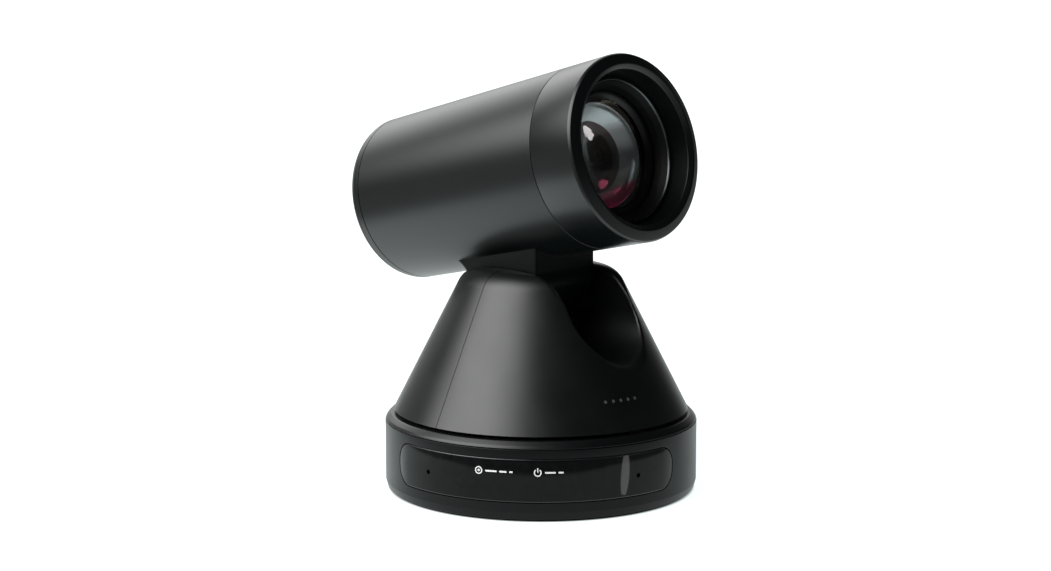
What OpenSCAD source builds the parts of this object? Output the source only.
// Compact pan-tilt-zoom conference camera.
// Millimetres, +Z up. The origin is the mouth of the tripod socket, on the underside of the base.
// The front of the base faces -Y. The turret is turned by pan_rest and the head is raised by tilt_rest.

/* [Pose that the model is drawn in] */
// Turn of the turret from straight ahead, counter-clockwise from above
pan_rest = 50.5; // [0:0.5:90]
// Rise of the lens above level
tilt_rest = 12.9; // [0:0.1:20]
// Furthest that the lens can point below level
tilt_down = 30; // [20:1:35]

/* [Base] */
// Outer radius of the base
base_r = 59.1; // [58:0.1:61]
// Radius of the base at its lower edge
base_foot_r = 58.3; // [57:0.1:58.8]
// Height of the chamfer at the lower edge
base_chamfer_h = 2.8; // [2:0.1:5]
// Height of the side wall
base_wall_h = 25.5; // [25:0.1:27]
// Height of the top ring
base_top_h = 28.2; // [28:0.1:29]
// Radius of the inner edge of the top ring's bevel
base_top_r = 56.9; // [56:0.1:57.5]
// Wall thickness of the base shell
base_wall = 2.5; // [2.2:0.1:3]
// How far the feet stand below the base
foot_proud = 0.8; // [0.5:0.1:1.5]

/* [Front window] */
// Half of the angle that the window covers
window_half_angle = 58; // [50:1:65]
// Lower edge of the window
window_z0 = 6.3; // [6:0.1:8]
// Upper edge of the window
window_z1 = 22.2; // [20:0.1:23]
// Corner radius of the window
window_corner = 7; // [3:0.5:7.5]
// Angle of each microphone hole from the front
mic_angle = 40; // [30:1:48]

/* [Turret] */
// Lower edge of the cone
cone_z0 = 29.5; // [29:0.1:31]
// Radius of the cone at its lower edge
cone_r0 = 55.7; // [54:0.1:56.5]
// Radius lost for each millimetre of height
cone_slope = 0.509; // [0.48:0.001:0.52]
// Rounding between the cone and its crown
crown_round = 10.5; // [8:0.5:12]
// Wall thickness of the cone covers
cover_wall = 2.5; // [2:0.1:3]
// Half width of the channel that the neck swings in
channel_half = 17.2; // [17:0.1:18]
// Height of the channel's floor
channel_floor = 51; // [50:0.5:53]

/* [Head] */
// Height of the tilt axis
tilt_z = 61.4; // [60:0.1:63]
// Height of the barrel's axis above the tilt axis
head_h = 57; // [56:0.1:58]
// Distance from the tilt axis to the rim of the barrel
rim_w = 60.5; // [58:0.1:62]
// Distance from the tilt axis back to the rear edge of the barrel
tail_w = 57.5; // [55:0.1:59]
// Radius of the barrel at the rim
rim_r = 34.5; // [34:0.1:35]
// Radius of the barrel at its rear edge
tail_r = 32.1; // [31:0.1:33]
// Length of the front bezel
bezel_len = 19.7; // [16:0.1:22]
// Half width of the neck
neck_half = 16.2; // [16:0.1:16.4]

/* [Drives] */
// Module of the pan gears
pan_module = 1; // [1]
// Teeth on the fixed pan gear
pan_teeth = 56; // [56]
// Module of the tilt gears
tilt_module = 0.8; // [0.8]
// Teeth on the tilt gear
tilt_teeth = 28; // [28]
// Teeth on both pinions
pinion_teeth = 12; // [12]

/* [Hidden] */
$fn = 96;
gap = 0.15;
far = 200;
plate_z0 = 31.8;
plate_h = 2;
plate_z1 = plate_z0 + plate_h;
plate_r = 50.5;
socket_r = 2.55;
socket_len = 6.5;
shell_inner_r = base_r - base_wall;
panel_y = 52;
panel_half = 25;
port_z = 13.5;
spindle_r = 8;
running = 0.05;
axle_r = 3.5;
wall_x = channel_half + 2;
yoke_x0 = 20.5;
yoke_x1 = 22.5;
gear_x = -28;
gear_w = 4;
pan_centres = pan_module * (pan_teeth + pinion_teeth) / 2;
tilt_centres = tilt_module * (tilt_teeth + pinion_teeth) / 2;
pinion_shaft_r = 1.5;
front_w = rim_w + 1.7;
seam_w = rim_w - bezel_len;
barrel_wall = 2.2;
rod_x = 14.5;
rod_r = 1;
tube_r = 24.5;
board_h = 1.6;
cable_r = 6;
barrel_room = 0.5;
mic_z = 13.8;
light_angle = 9.5;
light_z = 15;
light_r = 1.5;
ir_angle = 26;
ir_z = 14;
quarters = [45, 135, 225, 315];
thirds = [90, 210, 330];
base_screw_at = 50;
cover_screw_at = 44.5;
cap_screw_at = 24;
screw_r = 1.2;
pilot_r = 1.25;
clear_r = 1.7;

black = [0.06, 0.065, 0.07];
steel = [0.62, 0.64, 0.66];
green = [0.05, 0.25, 0.15];
brass = [0.75, 0.6, 0.3];
glass = [0.35, 0.4, 0.5, 0.5];

// The turret's own frame, with its front towards -Y, turned to the rest pose
module in_turret() {
  rotate([0, 0, pan_rest]) children();
}

// The head's own frame, with its origin on the tilt axis, raised to the rest pose
module in_head() {
  in_turret() translate([0, 0, tilt_z]) rotate([-tilt_rest, 0, 0]) children();
}

// The lens axis: +Z runs forward out of the barrel
module on_lens_axis() {
  in_head() translate([0, 0, head_h]) rotate([90, 0, 0]) children();
}

// A ring about Z
module ring(outer, inner, z0, z1) {
  translate([0, 0, z0]) difference() {
    cylinder(r = outer, h = z1 - z0);
    translate([0, 0, -1]) cylinder(r = inner, h = z1 - z0 + 2);
  }
}

// Copies round Z at given angles and radius
module around(angles, radius) {
  for (a = angles) rotate([0, 0, a]) translate([radius, 0, 0]) children();
}

// A cylinder about X
module x_cylinder(radius, x0, x1) {
  translate([x0, 0, 0]) rotate([0, 90, 0]) cylinder(r = radius, h = x1 - x0);
}

// ---- gears ----
function involute(angle) = tan(angle) * 180 / PI - angle;
function half_tooth(r, teeth, m, play) =
  let (pitch = teeth * m / 2, base = pitch * cos(20))
  90 / teeth - play / pitch * 90 / PI + involute(20)
  - (r > base ? involute(acos(base / r)) : 0);
function polar(r, a) = [r * cos(a), r * sin(a)];
function tooth_radii(teeth, m) =
  let (pitch = teeth * m / 2)
  [pitch - 1.25 * m, max(pitch * cos(20), pitch - 0.9 * m), pitch, pitch + 0.5 * m, pitch + 0.95 * m];

// An involute spur gear with a tooth centred on +X
module spur_gear(teeth, m, width, play = 0.16) {
  radii = tooth_radii(teeth, m);
  last = len(radii) - 1;
  linear_extrude(width) polygon([
    for (i = [0 : teeth - 1]) each [
      for (k = [0 : last]) polar(radii[k], i * 360 / teeth - half_tooth(radii[k], teeth, m, play)),
      for (k = [last : -1 : 0]) polar(radii[k], i * 360 / teeth + half_tooth(radii[k], teeth, m, play))
    ]
  ]);
}

// ---- base ----
function base_outline() = [
  [0, 0], [base_foot_r, 0], [base_r, base_chamfer_h], [base_r, base_wall_h], [0, base_wall_h]
];

// One corner of the window's outline, as [angle from the front, height] on the base's wall
function window_corner_arc(side, top, turn, z0, z1) = [
  for (k = [0 : 6])
    let (a = (side > 0 ? (top > 0 ? 90 - 15 * k : -15 * k) : (top > 0 ? 180 - 15 * k : 270 - 15 * k)))
    [
      side * (turn - window_corner / base_r * 180 / PI) + window_corner * cos(a) / base_r * 180 / PI,
      (top > 0 ? z1 - window_corner : z0 + window_corner) + window_corner * sin(a)
    ]
];

// The window's outline as a curved slab between two radii, grown by a margin
module window_slab(r0, r1, margin) {
  turn = window_half_angle + margin / base_r * 180 / PI;
  z0 = window_z0 - margin;
  z1 = window_z1 + margin;
  outline = concat(
    window_corner_arc(1, 1, turn, z0, z1), window_corner_arc(1, -1, turn, z0, z1),
    window_corner_arc(-1, -1, turn, z0, z1), window_corner_arc(-1, 1, turn, z0, z1)
  );
  intersection() {
    ring(r1, r0, z0 - 1, z1 + 1, $fn = 180);
    rotate([90, 0, 0]) linear_extrude(far) polygon([for (p = outline) [base_r * sin(p[0]), p[1]]]);
  }
}

// A hole drilled in from the front face of the base at an angle from the front
module radial_hole(angle, z, radius) {
  rotate([0, 0, -90 + angle]) translate([base_r - 8, 0, z])
    rotate([0, 90, 0]) cylinder(r = radius, h = 20);
}

module base_shell() {
  color(black) difference() {
    union() {
      difference() {
        rotate_extrude($fn = 180) polygon(base_outline());
        translate([0, 0, 1]) cylinder(r = shell_inner_r, h = base_wall_h);
        translate([0, 0, -1]) cylinder(r = shell_inner_r - 0.8, h = 5);
        translate([-panel_half, panel_y, 5]) cube([2 * panel_half, 20, 17.5]);
      }
      intersection() {
        translate([0, 0, 1.6]) cylinder(r = base_r - 0.5, h = base_wall_h - 4.3);
        translate([-panel_half - 4, panel_y - 2, 3]) cube([2 * panel_half + 8, 2, 21]);
      }
      around(quarters, base_screw_at) translate([0, 0, 3]) cylinder(r = 3.5, h = 10);
      for (a = quarters)
        rotate([0, 0, a]) translate([base_screw_at + 2, -1, 3]) cube([5.5, 2, 10]);
    }
    window_slab(base_r - 1.5, base_r + 2, gap);
    around(quarters, base_screw_at) translate([0, 0, 2]) cylinder(r = pilot_r, h = 9);
    for (side = [-1, 1]) {
      radial_hole(side * mic_angle, mic_z, 0.9);
      radial_hole(side * light_angle, light_z, light_r + 0.1);
    }
    radial_hole(ir_angle, ir_z, 3.5);
    translate([-17, 0, port_z]) rotate([-90, 0, 0]) cylinder(r = 4.2, h = far);
    translate([-4.6, panel_y - 5, port_z - 4.4]) cube([9.2, 20, 8.8]);
    translate([17, 0, port_z]) rotate([-90, 0, 0]) cylinder(r = 5, h = far);
  }
}

module base_top() {
  color(black) rotate_extrude($fn = 180) polygon([
    [base_r, base_wall_h + 0.1], [base_r - 0.9, base_wall_h + 1.7], [base_top_r, base_top_h],
    [6, base_top_h], [6, base_top_h - 2], [shell_inner_r - 2.3, base_top_h - 2],
    [shell_inner_r - 2.3, base_wall_h - 2.5], [shell_inner_r - 0.3, base_wall_h - 2.5],
    [shell_inner_r - 0.3, base_wall_h + 0.1]
  ]);
}

module front_window() {
  color([0.02, 0.02, 0.025]) difference() {
    window_slab(base_r - 1.4, base_r, 0);
    for (side = [-1, 1]) radial_hole(side * mic_angle, mic_z, 0.85);
  }
}

module bottom_plate() {
  color(steel) difference() {
    cylinder(r = shell_inner_r - 1, h = 2.4);
    translate([0, 0, -1]) cylinder(r = 6, h = 5);
    around(quarters, base_screw_at) translate([0, 0, -1]) cylinder(r = clear_r, h = 5);
    around(quarters, base_screw_at) translate([0, 0, -1]) cylinder(r = 3.1, h = 2.2);
  }
}

module rubber_feet() {
  color([0.03, 0.03, 0.03]) around([0, 90, 180, 270], 45)
    translate([0, 0, -foot_proud]) cylinder(r = 5, h = foot_proud);
}

module tripod_socket() {
  color(brass) difference() {
    union() {
      cylinder(r = 5.9, h = 2.4);
      translate([0, 0, 2.4]) cylinder(r = 7.5, h = 6);
    }
    translate([0, 0, -1]) cylinder(r = socket_r, h = socket_len + 1);
  }
}

// A pan-head screw that points up, with its head's underside at z = 0
module screw_up(shank_r, length, head_r, head_h) {
  cylinder(r = shank_r, h = length);
  translate([0, 0, -head_h]) difference() {
    cylinder(r = head_r, h = head_h);
    for (a = [0, 90]) rotate([0, 0, a]) translate([-head_r * 0.6, -0.35, -1]) cube([head_r * 1.2, 0.7, 1.6]);
  }
}

module base_screws() {
  color(steel) around(quarters, base_screw_at) translate([0, 0, 1.2]) screw_up(screw_r, 9, 2.8, 1);
}

module main_board() {
  color(green) union() {
    difference() {
      translate([0, 0, 6.6]) cylinder(r = 44, h = board_h);
      translate([0, 0, 5]) cylinder(r = 9, h = 5);
      translate([-30, 37, 5]) cube([60, 20, 5]);
    }
    translate([-20, -24, 8.2]) cube([14, 14, 2]);
    translate([6, -22, 8.2]) cube([9, 9, 1.6]);
    translate([18, 6, 8.2]) cylinder(r = 4, h = 9);
  }
}

module ir_receiver() {
  color([0.08, 0.03, 0.04]) rotate([0, 0, -90 + ir_angle]) translate([48.2, 0, ir_z]) {
    translate([0, -3, -4]) cube([4.5, 6, 8]);
    translate([4.5, 0, 0]) rotate([0, 90, 0]) cylinder(r = 2.8, h = 3.3);
  }
}

module status_lights() {
  color([0.9, 0.95, 0.9]) for (side = [-1, 1])
    rotate([0, 0, -90 + side * light_angle]) translate([50.4, 0, light_z])
      rotate([0, 90, 0]) cylinder(r = light_r, h = 6.9);
}

module microphones() {
  color(steel) for (side = [-1, 1])
    rotate([0, 0, -90 + side * mic_angle]) translate([53.8, 0, mic_z])
      rotate([0, 90, 0]) cylinder(r = 2, h = 2.5);
}

module power_inlet() {
  color([0.05, 0.05, 0.05]) translate([-17, panel_y, port_z]) rotate([90, 0, 0]) difference() {
    union() {
      translate([0, 0, -0.2]) cylinder(r = 4, h = 2.5);
      translate([-4.5, -4.8, 2.1]) cube([9, 10, 11]);
    }
    difference() {
      translate([0, 0, -1]) cylinder(r = 2.9, h = 10);
      translate([0, 0, -2]) cylinder(r = 1.1, h = 12);
    }
  }
}

module usb_socket() {
  color(steel) translate([0, panel_y, port_z]) difference() {
    translate([-4.4, -14, -4.2]) cube([8.8, 14.2, 8.4]);
    difference() {
      translate([-3.9, -9, -3.7]) cube([7.8, 12, 7.4]);
      translate([-2.8, -10, -1.9]) cube([5.6, 9.5, 3.8]);
    }
  }
}

module serial_socket() {
  color([0.05, 0.05, 0.05]) translate([17, panel_y, port_z]) rotate([90, 0, 0]) difference() {
    union() {
      translate([0, 0, -0.2]) cylinder(r = 4.8, h = 2.5);
      translate([-6, -5, 2.1]) cube([12, 10, 11]);
    }
    difference() {
      translate([0, 0, -1]) cylinder(r = 4.1, h = 6);
      translate([0, 0, 0.4]) cylinder(r = 3.3, h = 10);
    }
    for (a = [30 : 60 : 330])
      rotate([0, 0, a]) translate([2.2, 0, 0]) cylinder(r = 0.35, h = 4);
  }
}

// ---- pan bearing ----
module pan_spindle() {
  color(steel) difference() {
    union() {
      translate([0, 0, base_top_h]) cylinder(r = 20, h = 1.8);
      translate([0, 0, base_top_h]) cylinder(r = spindle_r, h = 14.5);
    }
    translate([0, 0, base_top_h - 1]) cylinder(r = 5, h = 20);
    ring(spindle_r + 1, spindle_r - 0.6, 40.6, 41.6);
  }
}

module pan_gear() {
  color([0.85, 0.85, 0.8]) difference() {
    translate([0, 0, base_top_h]) rotate([0, 0, pan_rest + 90]) spur_gear(pan_teeth, pan_module, 2.8);
    translate([0, 0, base_top_h - 1]) cylinder(r = 20.1, h = 5);
  }
}

module spindle_clip() {
  color(steel) difference() {
    ring(spindle_r + 2.5, spindle_r - 0.55, 40.65, 41.55);
    translate([0, -2, 40]) cube([20, 4, 3]);
  }
}

// ---- turret ----
module turret_plate() {
  color(steel) in_turret() difference() {
    union() {
      translate([0, 0, plate_z0]) cylinder(r = plate_r, h = plate_h);
      translate([0, 0, plate_z0]) cylinder(r = 14, h = 8.5);
    }
    translate([0, 0, plate_z0 - 1]) cylinder(r = spindle_r + running, h = 12);
    translate([0, pan_centres, plate_z0 - 1]) cylinder(r = 2.2, h = 5);
    around(quarters, cover_screw_at) translate([0, 0, plate_z0 - 1]) cylinder(r = clear_r, h = 5);
  }
}

side_angle = atan(cone_slope);
side_normal = [cos(side_angle), sin(side_angle)];
crown_normal = [sin(8), cos(8)];
side_offset = side_normal * [cone_r0, cone_z0];
crown_offset = crown_normal * [20.7, 83.75];
crown_steps = 12;
wedge = side_normal[0] * crown_normal[1] - crown_normal[0] * side_normal[1];

// Where a line parallel to the cone's side crosses a line parallel to its crown
function crossing(side, crown) = [
  (side * crown_normal[1] - side_normal[1] * crown) / wedge,
  (side_normal[0] * crown - crown_normal[0] * side) / wedge
];

// The turret's outer shape, shrunk by a wall and starting a little lower
module crown_solid(wall, drop) {
  radius = crown_round - wall;
  centre = crossing(side_offset - crown_round, crown_offset - crown_round);
  low_r = (side_offset - wall - side_normal[1] * (cone_z0 - drop)) / side_normal[0];
  top = (crown_offset - wall) / crown_normal[1];
  rotate_extrude($fn = 180) polygon(concat(
    [[0, cone_z0 - drop], [low_r, cone_z0 - drop]],
    [for (k = [0 : crown_steps]) centre + polar(radius, side_angle + k * (82 - side_angle) / crown_steps)],
    [[0, top]]
  ));
}

// The channel between the shoulders: straight sides with a round floor
module channel(half) {
  centre = channel_floor + channel_half;
  translate([0, far / 2, 0]) rotate([90, 0, 0]) linear_extrude(far) {
    translate([0, centre]) circle(r = half, $fn = 96);
    translate([-half, centre]) square([2 * half, 60]);
  }
}

module cover_body() {
  difference() {
    union() {
      difference() {
        crown_solid(0, 0);
        difference() {
          crown_solid(cover_wall, 1);
          around(quarters, cover_screw_at) translate([0, 0, plate_z1]) cylinder(r = 3, h = 10);
        }
      }
      intersection() {
        crown_solid(0.4, 0);
        channel(wall_x);
      }
    }
    channel(channel_half);
    translate([0, 0, tilt_z]) x_cylinder(axle_r + 0.8, -wall_x - 1, wall_x + 1);
    translate([0, 0, tilt_z]) rotate([tilt_down, 0, 0]) barrel_sweep(barrel_room);
    around(quarters, cover_screw_at) translate([0, 0, plate_z1 - 1]) cylinder(r = pilot_r, h = 9);
  }
}

module front_cover() {
  color(black) in_turret() intersection() {
    cover_body();
    translate([-100, -100.05, 0]) cube([200, 100, 100]);
  }
}

module rear_cover() {
  color(black) in_turret() intersection() {
    cover_body();
    translate([-100, 0.05, 0]) cube([200, 100, 100]);
  }
}

module yoke(side) {
  color(steel) in_turret() mirror([side < 0 ? 1 : 0, 0, 0]) difference() {
    union() {
      translate([yoke_x0, -11, plate_z1]) cube([yoke_x1 - yoke_x0, 22, tilt_z - plate_z1]);
      translate([0, 0, tilt_z]) x_cylinder(11, yoke_x0, yoke_x1);
      translate([yoke_x0, -11, plate_z1]) cube([9, 22, 2]);
    }
    translate([0, 0, tilt_z]) x_cylinder(6, yoke_x0 - 1, yoke_x1 + 1);
    for (y = [-7, 7]) translate([26.5, y, plate_z1 - 1]) cylinder(r = 1.3, h = 5);
  }
}

module left_yoke() yoke(-1);
module right_yoke() yoke(1);

module tilt_bushes() {
  color(brass) in_turret() translate([0, 0, tilt_z]) for (side = [0, 1]) mirror([side, 0, 0])
    difference() {
      x_cylinder(6, yoke_x0, yoke_x1);
      x_cylinder(axle_r + running, yoke_x0 - 1, yoke_x1 + 1);
    }
}

module pan_motor() {
  color(steel) in_turret() translate([0, pan_centres, plate_z1]) difference() {
    union() {
      cylinder(r = 7.5, h = 11);
      translate([-10.5, -4, 0]) cube([21, 8, 1]);
    }
    translate([0, 0, -1]) cylinder(r = pinion_shaft_r + running, h = 9);
  }
}

module pan_pinion() {
  color(brass) in_turret() translate([0, pan_centres, base_top_h + 0.3]) {
    rotate([0, 0, -90 + 180 / pinion_teeth]) spur_gear(pinion_teeth, pan_module, 2.8);
    cylinder(r = pinion_shaft_r, h = 12);
  }
}

module tilt_motor() {
  color(steel) in_turret() translate([0, 0, tilt_z - tilt_centres]) difference() {
    union() {
      x_cylinder(7.5, -40, gear_x - 1.5);
      translate([gear_x - 2.5, -11, -3]) cube([1, 22, 6]);
      for (y = [-9.2, 9.2]) translate([0, y, 0]) x_cylinder(1.6, gear_x - 2.4, -yoke_x1);
    }
    x_cylinder(pinion_shaft_r + running, gear_x - 8, gear_x);
  }
}

module tilt_pinion() {
  color(brass) in_turret() translate([0, 0, tilt_z - tilt_centres]) {
    translate([gear_x, 0, 0]) rotate([0, 90, 0]) rotate([0, 0, 180 / pinion_teeth])
      spur_gear(pinion_teeth, tilt_module, gear_w);
    x_cylinder(pinion_shaft_r, gear_x - 7, gear_x + gear_w);
  }
}

module drive_board() {
  color(green) in_turret() union() {
    translate([-15, -38, 37]) cube([30, 22, board_h]);
    translate([-9, -33, 38.6]) cube([9, 9, 1.5]);
    for (x = [-12, 12]) translate([x, -27, plate_z1]) cylinder(r = 2, h = 37 - plate_z1);
  }
}

module cover_screws() {
  color(steel) in_turret() around(quarters, cover_screw_at)
    translate([0, 0, plate_z0]) screw_up(screw_r, 9, 2.8, 1);
}

// ---- head ----
module neck() {
  low = 15;
  color(black) in_head() difference() {
    union() {
      intersection() {
        rotate([0, 90, 0]) translate([0, 0, -neck_half]) linear_extrude(2 * neck_half) polygon([
          [-45, -20.5], [-31, -19.8], [-18, -17], [-13, -17], [-2, -7], [-2, 7], [-13, 17],
          [-21, 17.6], [-26, 20.3], [-31, 26], [-45, 29]
        ]);
        translate([0, 50, 0]) rotate([90, 0, 0]) linear_extrude(100) {
          translate([0, low]) circle(r = neck_half);
          translate([-neck_half, low]) square([2 * neck_half, 40]);
        }
      }
      rotate([0, 90, 0]) rotate_extrude() intersection() {
        translate([channel_floor + channel_half - tilt_z, 0] * -1) circle(r = neck_half + 0.2);
        translate([0, -neck_half]) square([30, 2 * neck_half]);
      }
      x_cylinder(axle_r + 1.3, -neck_half + 4, neck_half - 4);
    }
    barrel_sweep(0.05);
    x_cylinder(axle_r, -30, 30);
    translate([0, 0, 12]) cylinder(r = cable_r, h = 40);
  }
}

// The barrel's outer shape, in the head's frame and grown by a margin
module barrel_sweep(margin) {
  translate([0, 0, head_h]) rotate([90, 0, 0]) translate([0, 0, -tail_w])
    cylinder(r1 = tail_r + margin, r2 = rim_r + margin, h = tail_w + rim_w, $fn = 180);
}

module tilt_axle() {
  color(steel) in_turret() translate([0, 0, tilt_z]) x_cylinder(axle_r, gear_x - 0.5, yoke_x1 + 1.5);
}

module tilt_gear() {
  color([0.85, 0.85, 0.8]) in_turret() translate([gear_x, 0, tilt_z]) difference() {
    rotate([0, 90, 0]) spur_gear(tilt_teeth, tilt_module, gear_w);
    x_cylinder(axle_r, -1, gear_w + 1);
  }
}

function barrel_r(w) = tail_r + (rim_r - tail_r) * (w + tail_w) / (rim_w + tail_w);

module barrel_shell() {
  w1 = seam_w - 0.05;
  color(black) on_lens_axis() difference() {
    translate([0, 0, -tail_w]) cylinder(r1 = tail_r, r2 = barrel_r(w1), h = w1 + tail_w, $fn = 180);
    translate([0, 0, -tail_w - 0.01])
      cylinder(r1 = tail_r - barrel_wall, r2 = barrel_r(w1) - barrel_wall, h = w1 + tail_w + 0.02, $fn = 180);
    rotate([90, 0, 0]) translate([0, 0, 12]) cylinder(r = cable_r, h = 40);
  }
}

module front_bezel() {
  w0 = seam_w + 0.05;
  outer = barrel_r(w0);
  color(black) on_lens_axis() rotate_extrude($fn = 180) polygon([
    [outer, w0], [rim_r, rim_w - 0.6], [rim_r - 0.5, rim_w + 0.35], [30.6, front_w],
    [30.2, front_w - 0.1], [28.5, front_w - 1.3], [27.5, 54.2], [27.5, 51.8], [29.3, 51.8],
    [30.2, 59], [rim_r - 2.4, 58.6], [outer - 3.6, w0 + 2], [outer - 3.6, w0 - 4],
    [outer - 2.4, w0 - 4], [outer - 2.4, w0]
  ]);
}

module rear_cap() {
  color(black) on_lens_axis() difference() {
    rotate_extrude($fn = 180) polygon([
      [0, -63], [22, -62.4], [27.5, -61.5], [30.2, -60.3], [31.5, -58.9], [tail_r - 0.2, -tail_w - 0.05],
      [tail_r - 2.4, -tail_w - 0.05], [tail_r - 2.4, -54], [tail_r - 4, -54], [tail_r - 4, -58.6],
      [24, -60.2], [0, -60.8]
    ]);
    around(thirds, cap_screw_at) translate([0, 0, -61]) cylinder(r = pilot_r, h = 8);
  }
}

module lens_hood() {
  color([0.03, 0.03, 0.03]) on_lens_axis() rotate_extrude($fn = 180) polygon([
    [27.4, 53.9], [26.2, 54.2], [25.5, 53.6], [24.2, 51.6], [23.2, 49], [tube_r, 48.9], [25.2, 50.6],
    [26.4, 51.9], [27.4, 51.9]
  ]);
}

module retaining_ring() {
  color([0.1, 0.1, 0.1]) on_lens_axis() rotate_extrude($fn = 180) polygon([
    [20.1, 47.1], [tube_r - 0.1, 47.1], [tube_r - 0.1, 48.8], [22.2, 48.8], [21.6, 48.6], [20.1, 47.5]
  ]);
}

// A glass element: two spherical faces inside a rim
module lens_element(radius, w0, edge, front_rise, rear_rise) {
  front_ball = (radius * radius + front_rise * front_rise) / (2 * front_rise);
  rear_ball = (radius * radius + rear_rise * rear_rise) / (2 * rear_rise);
  translate([0, 0, w0]) rotate_extrude($fn = 120) intersection() {
    translate([0, edge + front_rise - front_ball]) circle(r = front_ball, $fn = 720);
    translate([0, rear_ball - rear_rise]) circle(r = rear_ball, $fn = 720);
    translate([0, -rear_rise - 1]) square([radius, edge + front_rise + rear_rise + 2]);
  }
}

module front_lens() {
  color(glass) on_lens_axis() lens_element(21.3, 40.6, 5.2, 6.2, 0.5);
}

module lens_tube() {
  color([0.05, 0.05, 0.05]) on_lens_axis() rotate_extrude($fn = 120) polygon([
    [tube_r, 47], [21.4, 47], [21.4, 40], [17.6, 40], [17.6, -19], [9, -19], [9, -21], [tube_r - 4, -21],
    [tube_r - 4, 24], [tube_r, 26]
  ]);
}

module lens_mount() {
  color([0.1, 0.1, 0.1]) on_lens_axis() difference() {
    ring(31.1, tube_r - 3.95, 10, 13);
    around([30, 90, 150, 210, 270, 330], 26) translate([0, 0, 9]) cylinder(r = 2.8, h = 5);
  }
}

module inner_ring() {
  color([0.5, 0.5, 0.5]) on_lens_axis() rotate_extrude($fn = 120) polygon([
    [17.5, 39.4], [16.8, 39.4], [13.4, 36.4], [12.2, 35.4], [11.8, 34.2], [11.8, 30.4], [17.5, 30.4]
  ]);
}

module second_lens() {
  color(glass) on_lens_axis() lens_element(11.7, 31.2, 2.2, 2.6, 0.6);
}

module guide_rods() {
  color(steel) on_lens_axis() for (x = [-rod_x, rod_x])
    translate([x, 0, -18.9]) cylinder(r = rod_r, h = 49.2);
}

module iris_plate() {
  color([0.04, 0.04, 0.04]) on_lens_axis() difference() {
    ring(17.5, 5.5, 2, 3.2);
    for (x = [-rod_x, rod_x]) translate([x, 0, 0]) cylinder(r = rod_r + 0.03, h = 10);
  }
}

// A lens carriage that slides on the two guide rods
module carriage(w0) {
  difference() {
    union() {
      translate([0, 0, w0]) cylinder(r = 11.2, h = 5);
      translate([-rod_x - 1.9, -1.9, w0]) cube([2 * rod_x + 3.8, 3.8, 5]);
    }
    translate([0, 0, w0 - 1]) cylinder(r = 9.3, h = 7);
    for (x = [-rod_x, rod_x]) translate([x, 0, w0 - 1]) cylinder(r = rod_r + running, h = 7);
  }
}

module zoom_carriage() {
  color([0.1, 0.1, 0.1]) on_lens_axis() carriage(14);
}

module zoom_lens() {
  color(glass) on_lens_axis() lens_element(9.2, 15, 2.4, 1.2, 0.8);
}

module focus_carriage() {
  color([0.1, 0.1, 0.1]) on_lens_axis() carriage(-10);
}

module focus_lens() {
  color(glass) on_lens_axis() lens_element(9.2, -9, 2.4, 1.2, 0.8);
}

module sensor_board() {
  color(green) on_lens_axis() union() {
    translate([-16, -16, -23]) cube([32, 32, board_h]);
    translate([-5, -4, -21.4]) cube([10, 8, 1.2]);
  }
}

module head_board() {
  color(green) on_lens_axis() union() {
    translate([0, 0, -40]) cylinder(r = 26, h = board_h);
    translate([-8, -8, -38.4]) cube([16, 16, 1.8]);
    for (a = quarters) rotate([0, 0, a]) translate([18, 0, -38.4]) cylinder(r = 2, h = 15.4);
  }
}

module cap_screws() {
  color(steel) on_lens_axis() around(thirds, cap_screw_at)
    translate([0, 0, -50.2]) mirror([0, 0, 1]) screw_up(screw_r, 8, 2.4, 1);
}

base_shell();
base_top();
front_window();
bottom_plate();
rubber_feet();
tripod_socket();
base_screws();
main_board();
ir_receiver();
status_lights();
microphones();
power_inlet();
usb_socket();
serial_socket();
pan_spindle();
pan_gear();
spindle_clip();
turret_plate();
front_cover();
rear_cover();
left_yoke();
right_yoke();
tilt_bushes();
pan_motor();
tilt_motor();
drive_board();
cover_screws();
pan_pinion();
tilt_pinion();
neck();
tilt_axle();
tilt_gear();
barrel_shell();
front_bezel();
rear_cap();
lens_hood();
retaining_ring();
front_lens();
lens_tube();
lens_mount();
inner_ring();
second_lens();
guide_rods();
iris_plate();
zoom_carriage();
zoom_lens();
focus_carriage();
focus_lens();
sensor_board();
head_board();
cap_screws();
